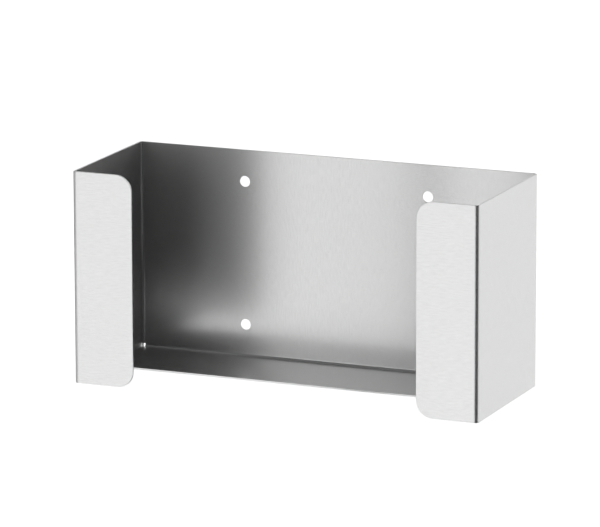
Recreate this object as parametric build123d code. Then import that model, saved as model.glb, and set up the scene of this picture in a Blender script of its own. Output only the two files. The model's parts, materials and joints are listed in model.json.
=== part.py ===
from build123d import *
from math import radians, tan
import os

# Holder for one box of disposable gloves, folded from a single sheet of stainless
# steel: a back panel with four screw holes, two side panels, two front flanges with
# rounded corners, and a floor half as deep as the holder. The top is open, and so is
# the front between the flanges.
#
# Millimetres. +X runs along the wall, +Y into it and +Z up. The origin is the middle
# of the four screw holes, on the face that lies against the wall.

# Outside sizes of the folded sheet
width = 250.0
height = 125.0
depth = 95.0
flange_width = 37.5
floor_depth = 52.6

# The sheet and its folds
sheet = 1.2
inner_bend = 1.5
flange_corner = 10.0
relief_lip = 50.0  # degrees of each rear fold that run on down beside the corner relief
floor_gap = 0.3  # between each end of the floor and its side panel

# Screw holes, two above two
hole_diameter = 6.5
hole_pitch_x = 115.0
hole_pitch_z = 86.0
lower_hole_height = 20.0

# Worked out from the sizes above
outer_bend = inner_bend + sheet
half_width = width / 2
half_window = half_width - flange_width
fold_axis = half_width - outer_bend
floor_run = floor_depth - outer_bend
floor_width = width - 2 * (sheet + floor_gap)
bottom = -lower_hole_height - hole_pitch_z / 2


def folded_section(*corners):
    """The sheet's section along its outside corners, each folded, the sheet to their right."""
    outside = FilletPolyline(*corners, radius=outer_bend)
    return make_face(outside.offset_2d(sheet, side=Side.RIGHT, closed=True))


def upright_panels():
    """Left flange, left side, back, right side and right flange, seen from above."""
    section = folded_section(
        (-half_window, -depth),
        (-half_width, -depth),
        (-half_width, 0),
        (half_width, 0),
        (half_width, -depth),
        (half_window, -depth),
    )
    panels = extrude(Plane.XY.offset(bottom) * section, height)
    free_corners = panels.edges().filter_by(Axis.Y).group_by(SortBy.LENGTH)[0]
    return fillet(free_corners, flange_corner)


def fold_clearance():
    """What is cut from the back's lower edge for the floor's fold and its corner reliefs.

    It is as high as that fold. At each end it runs on round the rear fold until
    relief_lip degrees of it are left, so that its edge there is square to the sheet.
    """
    beyond = 2 * outer_bend
    flare = beyond / tan(radians(relief_lip))
    outline = make_face(
        Polyline(
            (-fold_axis, -outer_bend),
            (-fold_axis - flare, beyond - outer_bend),
            (fold_axis + flare, beyond - outer_bend),
            (fold_axis, -outer_bend),
            close=True,
        )
    )
    return extrude(Plane.XY.offset(bottom) * outline, outer_bend)


def floor_panel():
    """The floor and the fold that joins it to the back.

    The fold is as long as the back is flat. In front of it the floor widens, and fills
    the space between the side panels.
    """
    section = folded_section((0, bottom + 2 * outer_bend), (0, bottom), (-floor_depth, bottom))
    folded = extrude(Plane.YZ.offset(-fold_axis) * section, 2 * fold_axis)
    middle = Pos(0, -outer_bend - floor_run / 2, bottom + sheet / 2)
    return folded + middle * Box(floor_width, floor_run, sheet)


def screw_holes():
    """The four holes in the back panel."""
    circles = Sketch() + [
        place * Circle(hole_diameter / 2) for place in GridLocations(hole_pitch_x, hole_pitch_z, 2, 2)
    ]
    return extrude(Plane.XZ * circles, 2 * sheet, both=True)


folded_steel_holder = upright_panels() - fold_clearance() + floor_panel() - screw_holes()

os.makedirs("parts", exist_ok=True)
export_step(folded_steel_holder, "parts/folded_steel_holder.step")
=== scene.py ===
import json
import math
import bpy
import numpy as np
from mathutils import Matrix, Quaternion, Vector
from mathutils.geometry import delaunay_2d_cdt


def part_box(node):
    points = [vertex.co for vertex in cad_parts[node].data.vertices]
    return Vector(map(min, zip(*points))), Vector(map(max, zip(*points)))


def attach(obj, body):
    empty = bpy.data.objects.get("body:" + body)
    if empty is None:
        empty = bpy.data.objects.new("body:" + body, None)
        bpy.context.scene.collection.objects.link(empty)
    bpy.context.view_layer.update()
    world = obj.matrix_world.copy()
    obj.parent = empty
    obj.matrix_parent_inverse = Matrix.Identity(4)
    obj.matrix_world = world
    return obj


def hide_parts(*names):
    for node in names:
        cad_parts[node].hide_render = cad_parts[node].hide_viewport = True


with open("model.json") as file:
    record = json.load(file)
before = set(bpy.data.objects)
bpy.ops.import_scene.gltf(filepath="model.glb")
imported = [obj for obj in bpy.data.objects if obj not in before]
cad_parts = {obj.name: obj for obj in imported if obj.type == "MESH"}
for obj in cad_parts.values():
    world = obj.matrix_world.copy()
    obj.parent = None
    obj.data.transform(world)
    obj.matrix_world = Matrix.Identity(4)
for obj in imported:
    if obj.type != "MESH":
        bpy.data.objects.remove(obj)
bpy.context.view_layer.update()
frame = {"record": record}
scene = bpy.context.scene
scene.view_settings.view_transform = "Standard"
low, high = (np.array(corner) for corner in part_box("folded_steel_holder"))
size = high - low
tiny = 1e-9  # metres, for comparing places
screws = next(m for m in frame["record"]["mounts"] if m["name"] == "screw_holes")["dims"]
print("frame loaded, size in mm:", (size * 1000).round(2))


camera = {
    "azimuth": 22.83,  # degrees to the right of straight ahead
    "elevation": 12.79,
    "roll": -0.14,
    "distance": 3.058,
    "lens": 318.9,  # mm, on a sensor 36 mm wide
    "right": -0.00282,  # slid sideways and upwards, to frame the holder
    "up": 0.00873,
    "clipEnd": 50.0,
}


# The camera stands at a distance from the holder's middle, in the direction that its
# azimuth and elevation give, and looks back along that direction.
def makeCamera():
    data = bpy.data.cameras.new("camera")
    data.sensor_width = 36.0
    data.lens = camera["lens"]
    data.clip_end = camera["clipEnd"]
    thing = bpy.data.objects.new("camera", data)
    scene.collection.objects.link(thing)
    azimuth, elevation = math.radians(camera["azimuth"]), math.radians(camera["elevation"])
    back = Vector((math.sin(azimuth) * math.cos(elevation),
                   -math.cos(azimuth) * math.cos(elevation),
                   math.sin(elevation)))
    right = (-back).cross(Vector((0, 0, 1))).normalized()
    up = right.cross(-back)
    slide = right * camera["right"] + up * camera["up"]
    thing.location = Vector((low + high) / 2) + back * camera["distance"] + slide
    thing.rotation_mode = "QUATERNION"
    roll = Quaternion((0, 0, 1), math.radians(camera["roll"]))
    thing.rotation_quaternion = (-back).to_track_quat("-Z", "Y") @ roll
    scene.camera = thing


makeCamera()
print("camera made")


holder = {
    "sheet": 0.0012,  # thickness
    "innerBend": 0.0015,  # inside radius of every fold
    "flangeWidth": 0.0375,
    "flangeCorner": 0.010,
    "floorDepth": 0.0526,
    "reliefLip": 50.0,  # degrees of each rear fold left beside the corner relief
    "floorGap": 0.0003,  # between each end of the floor and its side panel
    "cutCorner": 0.00035,  # radius left at the other corners of the cut blank
    "slitCorner": 0.0001,  # and at the two inner corners behind the floor
    "edgeRound": 0.00015,  # rounding of every cut edge
    "foldSteps": 12,
    "flangeSteps": 12,
    "cutSteps": 4,
    "edgeSteps": 3,
    "holeSteps": 64,
    "fillReach": 1e-6,  # mm, points closer than this would be merged
    "aheadStep": 1e-5,  # how far ahead the rim's outward direction is taken
}

halfSheet = holder["sheet"] / 2
outerBend = holder["innerBend"] + holder["sheet"]
midBend = holder["innerBend"] + halfSheet
quarter = midBend * math.pi / 2  # length of one fold on the sheet's middle
foldAxis = high[0] - outerBend  # where the back ends and its side folds start
foldTop = low[2] + outerBend  # where the floor's fold starts
sideRun = size[1] - 2 * outerBend
flangeRun = holder["flangeWidth"] - outerBend
floorRun = holder["floorDepth"] - outerBend
floorReach = high[0] - holder["sheet"] - holder["floorGap"]
flangeStart = foldAxis + 2 * quarter + sideRun  # along the blank, past both folds
reliefEnd = foldAxis + quarter * (90 - holder["reliefLip"]) / 90
slitMiddle = (low[2] + foldTop - quarter) / 2  # between the side panels and the floor


# A line that runs straight, turns a quarter round a fold and runs straight again.
# Place is the sum of what each stretch adds: length times heading on a straight,
# bend radius times the change of (sin, -cos) of the heading round a fold.
def foldedLine(distance, straights):
    lengths = np.array([part for run in straights for part in (run, quarter)][:-1])
    starts = np.concatenate([[0], np.cumsum(lengths)])
    turns = np.where(np.arange(len(lengths)) % 2, math.pi / 2, 0.0)
    along = np.clip(distance[:, None] - starts[:-1], 0, lengths)
    along[:, -1] = np.maximum(distance - starts[-2], 0)
    first = np.concatenate([[0], np.cumsum(turns)[:-1]])
    turned = turns * along / np.maximum(lengths, tiny)
    last = first + turned
    bent = turns > 0
    forward = np.where(bent, midBend * (np.sin(last) - np.sin(first)), along * np.cos(first))
    inward = np.where(bent, midBend * (np.cos(first) - np.cos(last)), along * np.sin(first))
    return forward.sum(1), inward.sum(1), turned.sum(1)


# From the flat blank to the folded sheet. Flat points are (along, up), along from the
# middle of the back. Past the floor's fold line the blank turns forwards, and past each
# end of the back it turns forwards and then inwards. Lift is measured from the sheet's
# middle towards the inside of the holder.
def fold(flat, lift):
    along, up = flat[:, 0], flat[:, 1]
    side = np.sign(along)
    isFloor = (up < foldTop) & (np.abs(along) <= foldAxis + tiny) | (up < slitMiddle)
    out, inward, turned = foldedLine(np.abs(along), [foldAxis, sideRun, flangeRun])
    down, forward, dropped = foldedLine(np.maximum(foldTop - up, 0), [0.0, floorRun])
    wall = np.stack([side * out, high[1] - halfSheet - inward, up], 1)
    floor = np.stack([along, high[1] - halfSheet - forward, foldTop - down], 1)
    wallNormal = np.stack([-side * np.sin(turned), -np.cos(turned), 0 * up], 1)
    floorNormal = np.stack([0 * up, -np.cos(dropped), np.sin(dropped)], 1)
    middle = np.where(isFloor[:, None], floor, wall)
    normal = np.where(isFloor[:, None], floorNormal, wallNormal)
    return middle + normal * np.broadcast_to(lift, len(flat))[:, None], normal


# A closed outline with its corners rounded. Each corner's arc starts radius / tan(half
# the inside angle) before it, and sweeps the angle that the outline turns there.
def roundCorners(corners, radii, steps):
    before, after = np.roll(corners, 1, 0) - corners, np.roll(corners, -1, 0) - corners
    before /= np.linalg.norm(before, axis=1)[:, None]
    after /= np.linalg.norm(after, axis=1)[:, None]
    half = np.arccos(np.clip((before * after).sum(1), -1, 1)) / 2
    bisector = (before + after) / np.linalg.norm(before + after, axis=1)[:, None]
    centres = corners + bisector * (radii / np.sin(half))[:, None]
    reach = (radii / np.tan(half))[:, None]
    starts, ends = corners + before * reach - centres, corners + after * reach - centres
    arcs = []
    for centre, start, end, count in zip(centres, starts, ends, steps):
        share = np.linspace(0, 1, count + 1)[:, None]
        angle = np.arccos(np.dot(start, end) / np.dot(start, start))
        arc = np.sin((1 - share) * angle) * start + np.sin(share * angle) * end
        arcs.append(centre + arc / np.sin(angle))
    return np.concatenate(arcs)


# The blank's outline, right half first, then its mirror image.
def blankOutline():
    reach = flangeStart + flangeRun
    floorEnd = foldTop - quarter - floorRun
    small, large = holder["cutCorner"], holder["flangeCorner"]
    right = [
        (floorReach, floorEnd, small),
        (floorReach, foldTop - quarter, small),
        (foldAxis, foldTop - quarter, holder["slitCorner"]),
        (foldAxis, foldTop, small),
        (reliefEnd, foldTop, small),
        (reliefEnd, low[2], small),
        (reach, low[2], large),
        (reach, high[2], large),
    ]
    both = np.array(right + [(-along, up, radius) for along, up, radius in reversed(right)])
    steps = np.where(both[:, 2] == large, holder["flangeSteps"], holder["cutSteps"])
    return roundCorners(both[:, :2], both[:, 2], steps)


# A closed outline with a point added wherever it crosses one of the given values of
# its first (axis 0) or second (axis 1) coordinate, unless a corner is close by.
def addCrossings(outline, axis, values):
    ends = np.roll(outline, -1, 0)
    step = ends[:, axis] - outline[:, axis]
    step = np.where(np.abs(step) < tiny, np.inf, step)
    share = (values - outline[:, axis][:, None]) / step[:, None]
    clear = holder["edgeRound"] / 2 / np.linalg.norm(ends - outline, axis=1)[:, None]
    edge, column = np.nonzero((share > clear) & (share < 1 - clear))
    place = np.sort(np.concatenate([np.arange(len(outline)), edge + share[edge, column]]))
    closed = np.concatenate([outline, outline[:1]])
    return np.stack([np.interp(place, np.arange(len(closed)), closed[:, k]) for k in (0, 1)], 1)


# For each point of an outline, the vector that moves it one unit into the sheet from
# both of its edges: the sum of the edges' inward normals over 1 plus their dot product.
def inwardMitres(outline):
    step = np.roll(outline, -1, 0) - outline
    normal = np.stack([-step[:, 1], step[:, 0]], 1) / np.linalg.norm(step, axis=1)[:, None]
    before = np.roll(normal, 1, 0)
    return (normal + before) / (1 + (normal * before).sum(1))[:, None]


# Fills the blank between its outline and its holes with triangles that never cross a
# fold's station lines, each a pair of places that are joined at their nearest points.
# It works in millimetres, and a point that it gives back names the one it came from.
def fillBlank(loops, lines):
    points = np.concatenate(loops)
    counts = [len(loop) for loop in loops]
    firsts = np.cumsum([0] + counts[:-1])
    onward = [first + np.roll(np.arange(count), -1) for first, count in zip(firsts, counts)]
    around = np.stack([np.arange(len(points)), np.concatenate(onward)], 1)
    away = points[None, :, :] - lines.reshape(-1, 1, 2)
    across = np.argmin((away ** 2).sum(2), 1).reshape(-1, 2)
    edges = np.concatenate([around, across]).tolist()
    flat = [Vector(point) for point in (points * 1000).tolist()]
    _, _, faces, origins, _, _ = delaunay_2d_cdt(flat, edges, [], 1, holder["fillReach"])
    back = np.array([origin[0] for origin in origins])
    triangles = back[np.array(faces)]
    centres = points[triangles].mean(1)
    inHole = np.zeros(len(triangles), bool)
    for loop in loops[1:]:
        middle = (loop.min(0) + loop.max(0)) / 2
        inHole |= np.linalg.norm(centres - middle, axis=1) < np.ptp(loop[:, 0]) / 2
    return triangles[~inHole]


# Both faces of the sheet are the filled blank, folded half a sheet inwards and outwards.
def makeHolder():
    steps = holder["foldSteps"]
    rounding = holder["edgeRound"]
    stations = quarter * np.arange(steps + 1) / steps
    foldStarts = np.array([foldAxis, flangeStart - quarter])
    alongs = (foldStarts[:, None] + stations).ravel()
    alongs = np.concatenate([-alongs, alongs])
    ups = foldTop - stations
    outline = addCrossings(addCrossings(blankOutline(), 0, alongs), 1, ups)
    turn = -np.linspace(0, 2 * math.pi, holder["holeSteps"], endpoint=False)
    circle = screws["hole_r_mm"] / 1000 * np.stack([np.cos(turn), np.sin(turn)], 1)
    pitch = np.array([screws["spacing_x_mm"], screws["spacing_y_mm"]]) / 2000
    loops = [outline] + [circle + pitch * (i, j) for i in (-1, 1) for j in (-1, 1)]
    mitres = [inwardMitres(loop) for loop in loops]

    inset = [loop + rounding * mitre for loop, mitre in zip(loops, mitres)]
    ends = np.where(np.abs(alongs) < reliefEnd, foldTop, low[2])
    upright = [[(along, high[2]), (along, end)] for along, end in zip(alongs, ends)]
    level = [[(-foldAxis, up), (foldAxis, up)] for up in ups]
    triangles = fillBlank(inset, np.array(upright + level))
    flat = np.concatenate(inset)
    insidePoints, insideNormals = fold(flat, halfSheet)
    outsidePoints, outsideNormals = fold(flat, -halfSheet)
    points, normals = [insidePoints, outsidePoints], [insideNormals, -outsideNormals]
    faces = [triangles, triangles[:, ::-1] + len(flat)]
    uvs = [flat[triangles].reshape(-1, 2), flat[triangles[:, ::-1]].reshape(-1, 2)]

    # the rim: the cut edge's profile, a quarter round, a straight and a quarter round,
    # carried along each outline
    lean = np.linspace(0, math.pi / 2, holder["edgeSteps"] + 1)
    lean = np.concatenate([lean, math.pi - lean[::-1]])
    depth = rounding * (1 - np.sin(lean))
    upper = np.arange(len(lean)) < len(lean) // 2
    lift = np.where(upper, 1, -1) * (halfSheet - rounding) + rounding * np.cos(lean)
    run = np.concatenate([[0], np.cumsum(np.hypot(np.diff(depth), np.diff(lift)))]) - rounding
    first = 2 * len(flat)
    start = 0
    for loop, mitre in zip(loops, mitres):
        count = len(loop)
        ring = start + np.arange(count)
        grid = np.empty((len(lean), count), int)
        grid[0], grid[-1] = ring, ring + len(flat)
        outward = -mitre / np.linalg.norm(mitre, axis=1)[:, None]
        for j in range(1, len(lean) - 1):
            place, normal = fold(loop + depth[j] * mitre, lift[j])
            ahead, _ = fold(loop + depth[j] * mitre + outward * holder["aheadStep"], lift[j])
            across = ahead - place
            across /= np.linalg.norm(across, axis=1)[:, None]
            points.append(place)
            normals.append(np.sin(lean[j]) * across + np.cos(lean[j]) * normal)
            grid[j] = first + np.arange(count)
            first += count
        uvGrid = loop[None] + run[:, None, None] * outward[None]
        nextGrid, nextUv = np.roll(grid, -1, 1), np.roll(uvGrid, -1, 1)
        faces.append(np.stack([grid[:-1], grid[1:], nextGrid[1:], nextGrid[:-1]], 2).reshape(-1, 4))
        uvs.append(np.stack([uvGrid[:-1], uvGrid[1:], nextUv[1:], nextUv[:-1]], 2).reshape(-1, 2))
        start += count

    mesh = bpy.data.meshes.new("folded_sheet")
    corners = sum((group.tolist() for group in faces), [])
    mesh.from_pydata(np.concatenate(points).tolist(), [], corners)
    # the lines run up the back and the sides, front to back on the floor and level on
    # the flanges, so the flanges' faces have their two coordinates swapped
    sizes = np.concatenate([np.full(len(group), group.shape[1]) for group in faces])
    place = np.concatenate(uvs)
    starts = np.concatenate([[0], np.cumsum(sizes)[:-1]])
    middles = np.add.reduceat(np.abs(place[:, 0]), starts) / sizes
    level = np.repeat(middles > flangeStart, sizes)
    place = np.where(level[:, None], place[:, ::-1], place)
    layer = mesh.uv_layers.new(name="brushing")
    layer.data.foreach_set("uv", place.astype(np.float32).ravel())
    mesh.polygons.foreach_set("use_smooth", np.ones(len(mesh.polygons), bool))
    mesh.normals_split_custom_set_from_vertices(np.concatenate(normals).tolist())
    mesh.validate()
    sheet = bpy.data.objects.new("folded_sheet", mesh)
    scene.collection.objects.link(sheet)
    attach(sheet, "root")
    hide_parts("folded_steel_holder")
    return sheet


sheet = makeHolder()
print("sheet folded:", len(sheet.data.polygons), "faces")


steel = {
    "colour": 0.80,
    "anisotropy": 0.4,  # the shine spreads across the brushed lines, hardly along them
    "smoothLine": 0.22,  # roughness of the smoothest fine lines, and of the roughest
    "roughLine": 0.50,
    "lineWidth": 0.00006,  # metres
    "lineLength": 0.0006,
    "streakWidth": 0.0007,
    "streakLength": 0.005,
    "streakDepth": 0.12,  # how much the colour changes between streaks
    "streakDetail": 3.0,
    "lineFrom": 0.44,  # the noise at the smoothest lines, and at the roughest
    "lineTo": 0.56,
}


# Short hands for building a node tree.
class NodeSheet:
    def __init__(self, tree):
        self.tree = tree

    def add(self, kind, **settings):
        node = self.tree.nodes.new(kind)
        for key, value in settings.items():
            setattr(node, key, value)
        return node

    def join(self, source, target):
        self.tree.links.new(source, target)

    def math(self, operation, first, second=None, third=None):
        node = self.add("ShaderNodeMath", operation=operation)
        for socket, value in zip(node.inputs, (first, second, third)):
            if value is None:
                continue
            if isinstance(value, (int, float)):
                socket.default_value = value
            else:
                self.join(value, socket)
        return node.outputs[0]


# A material with an empty node tree, its sheet and the socket that its shader goes into.
def emptyMaterial(name):
    material = bpy.data.materials.new(name)
    material.use_nodes = True
    material.node_tree.nodes.clear()
    made = NodeSheet(material.node_tree)
    surface = made.add("ShaderNodeOutputMaterial").inputs["Surface"]
    return material, made, surface


# Long thin noise: the first coordinate runs across the brushed lines, the second with them.
def brushedNoise(made, place, width, length, detail=0.0):
    scale = made.add("ShaderNodeMapping")
    scale.inputs["Scale"].default_value = (1 / width, 1 / length, 1)
    made.join(place, scale.inputs["Vector"])
    noise = made.add("ShaderNodeTexNoise", noise_dimensions="2D")
    noise.inputs["Scale"].default_value = 1.0
    noise.inputs["Detail"].default_value = detail
    made.join(scale.outputs["Vector"], noise.inputs["Vector"])
    return noise.outputs["Fac"]


# Metal whose shine is stretched across the lines. Two noises, both drawn out along the
# lines, give fine lines of roughness and faint streaks of colour.
def makeSteel():
    material, made, surface = emptyMaterial("brushedSteel")
    shader = made.add("ShaderNodeBsdfPrincipled")
    made.join(shader.outputs["BSDF"], surface)
    shader.inputs["Metallic"].default_value = 1.0
    shader.inputs["Anisotropic"].default_value = steel["anisotropy"]
    tangent = made.add("ShaderNodeTangent", direction_type="UV_MAP", uv_map="brushing")
    made.join(tangent.outputs["Tangent"], shader.inputs["Tangent"])
    brushing = made.add("ShaderNodeUVMap", uv_map="brushing").outputs["UV"]

    streaks = brushedNoise(made, brushing, steel["streakWidth"], steel["streakLength"],
                           steel["streakDetail"])
    centred = made.math("SUBTRACT", streaks, 0.5)
    bright = made.math("MULTIPLY_ADD", centred, steel["streakDepth"], steel["colour"])
    colour = made.add("ShaderNodeCombineColor")
    for socket in colour.inputs:
        made.join(bright, socket)
    made.join(colour.outputs["Color"], shader.inputs["Base Color"])

    lines = brushedNoise(made, brushing, steel["lineWidth"], steel["lineLength"])
    rough = made.add("ShaderNodeMapRange")
    rough.inputs["From Min"].default_value = steel["lineFrom"]
    rough.inputs["From Max"].default_value = steel["lineTo"]
    rough.inputs["To Min"].default_value = steel["smoothLine"]
    rough.inputs["To Max"].default_value = steel["roughLine"]
    made.join(lines, rough.inputs["Value"])
    made.join(rough.outputs["Result"], shader.inputs["Roughness"])
    return material


brushedSteel = makeSteel()
sheet.data.materials.append(brushedSteel)
print("steel made")


# Directions are in degrees: azimuth 0 is straight ahead of the holder's open front and
# grows to its right, elevation 0 is level.
studio = {
    "room": 0.01,  # strength between the panels
    # azimuth, elevation, half width, half height, softness sideways and upwards, strength
    "panels": {
        "leftBehind": (-131, -30, 8, 40, 20, 35, 0.57),
        "backdrop": (180, 5, 54, 24, 12, 8, 1.0),
        "front": (-17, -28, 22, 50, 5, 9, 1.18),
        "groundLeft": (-69, -44, 23, 32, 14, 10, 1.1),
        "side": (134, 1, 47, 26, 8, 8, 1.08),
        "ground": (-8, -81, 63, 10, 25, 11, 0.7),
        "overhead": (0, 90, 200, 26, 10, 12, 0.45),
    },
    "cardAhead": 0.17,  # metres from the wall
    "cardEdges": (-0.015, 0.003, -0.15, 0.06),  # left, right, bottom, top
    "cardColour": 0.02,
    "floorSpread": 6.0,
    "floorColour": 0.9,
    "floorGlow": 0.94,  # lifts the floor to white
}


# A mask that is 1 up to the given half size and 0 beyond it, with a smooth step of twice
# the softness between them, all in degrees.
def softEdge(made, away, half, soft):
    step = made.add("ShaderNodeMapRange", interpolation_type="SMOOTHSTEP")
    step.inputs["From Min"].default_value = math.radians(half + soft)
    step.inputs["From Max"].default_value = math.radians(half - soft)
    made.join(away, step.inputs["Value"])
    return step.outputs["Result"]


# The world's strength starts at the room's, and each panel in turn pulls it to its own
# strength by its mask, the product of its soft edges sideways and upwards.
def makeWorld():
    world = bpy.data.worlds.new("studio")
    scene.world = world
    world.use_nodes = True
    world.node_tree.nodes.clear()
    made = NodeSheet(world.node_tree)
    out = made.add("ShaderNodeOutputWorld")
    place = made.add("ShaderNodeTexCoord").outputs["Generated"]
    parts = made.add("ShaderNodeSeparateXYZ")
    made.join(place, parts.inputs["Vector"])
    ahead = made.math("MULTIPLY", parts.outputs["Y"], -1.0)
    azimuth = made.math("ARCTAN2", parts.outputs["X"], ahead)
    elevation = made.math("ARCSINE", parts.outputs["Z"])

    level = studio["room"]
    masks = {}
    for name, panel in studio["panels"].items():
        across, up, halfWidth, halfHeight, softWidth, softHeight, strength = panel
        turned = made.math("SUBTRACT", azimuth, math.radians(across))
        turned = made.math("WRAP", turned, math.pi, -math.pi)
        raised = made.math("SUBTRACT", elevation, math.radians(up))
        beside = softEdge(made, made.math("ABSOLUTE", turned), halfWidth, softWidth)
        above = softEdge(made, made.math("ABSOLUTE", raised), halfHeight, softHeight)
        masks[name] = made.math("MULTIPLY", beside, above)
        lack = made.math("SUBTRACT", strength, level)
        level = made.math("MULTIPLY_ADD", masks[name], lack, level)

    # all white to the camera, and white to the steel where the backdrop stands
    rays = made.add("ShaderNodeLightPath").outputs
    mirrored = made.math("ADD", rays["Is Glossy Ray"], rays["Is Transmission Ray"])
    mirrored = made.math("MULTIPLY", mirrored, masks["backdrop"])
    shown = made.math("MAXIMUM", rays["Is Camera Ray"], mirrored)
    panels = made.add("ShaderNodeBackground", name="panels", label="panels")
    made.join(level, panels.inputs["Strength"])
    white = made.add("ShaderNodeBackground", name="white", label="white")
    for shader in (panels, white):
        shader.inputs["Color"].default_value = (1, 1, 1, 1)
    mix = made.add("ShaderNodeMixShader")
    made.join(shown, mix.inputs["Fac"])
    made.join(panels.outputs["Background"], mix.inputs[1])
    made.join(white.outputs["Background"], mix.inputs[2])
    made.join(mix.outputs["Shader"], out.inputs["Surface"])


# A flat piece of the studio with four corners.
def flatPiece(name, corners, material):
    mesh = bpy.data.meshes.new(name)
    mesh.from_pydata(corners, [], [(0, 1, 2, 3)])
    mesh.materials.append(material)
    piece = bpy.data.objects.new(name, mesh)
    scene.collection.objects.link(piece)
    return piece


# A square under the holder, which the light on it and a glow of its own make white.
# The glow is so strong that the holder's shadow doesn't show.
def makeFloor():
    material, made, surface = emptyMaterial("paleFloor")
    reach = studio["floorSpread"] / 2
    corners = [(x * reach, y * reach, low[2]) for x, y in ((-1, -1), (1, -1), (1, 1), (-1, 1))]
    floor = flatPiece("floor", corners, material)
    floor.visible_glossy = False
    floor.visible_shadow = False
    diffuse = made.add("ShaderNodeBsdfDiffuse")
    diffuse.inputs["Color"].default_value = (studio["floorColour"],) * 3 + (1,)
    glow = made.add("ShaderNodeEmission")
    glow.inputs["Strength"].default_value = studio["floorGlow"]
    both = made.add("ShaderNodeAddShader")
    made.join(diffuse.outputs["BSDF"], both.inputs[0])
    made.join(glow.outputs["Emission"], both.inputs[1])
    # from below the floor can be seen through
    side = made.add("ShaderNodeNewGeometry")
    clear = made.add("ShaderNodeBsdfTransparent")
    mix = made.add("ShaderNodeMixShader")
    made.join(side.outputs["Backfacing"], mix.inputs["Fac"])
    made.join(both.outputs["Shader"], mix.inputs[1])
    made.join(clear.outputs["BSDF"], mix.inputs[2])
    made.join(mix.outputs["Shader"], surface)


# A dark upright card ahead of the holder, which dims the bright side of its back a
# little. Only the steel sees it.
def makeCard():
    material, made, surface = emptyMaterial("darkCard")
    left, right, bottom, top = studio["cardEdges"]
    outline = ((left, bottom), (right, bottom), (right, top), (left, top))
    corners = [(x, -studio["cardAhead"], z) for x, z in outline]
    card = flatPiece("card", corners, material)
    card.visible_camera = False
    card.visible_diffuse = False
    diffuse = made.add("ShaderNodeBsdfDiffuse")
    diffuse.inputs["Color"].default_value = (studio["cardColour"],) * 3 + (1,)
    made.join(diffuse.outputs["BSDF"], surface)


makeWorld()
makeCard()
makeFloor()
print("studio made")
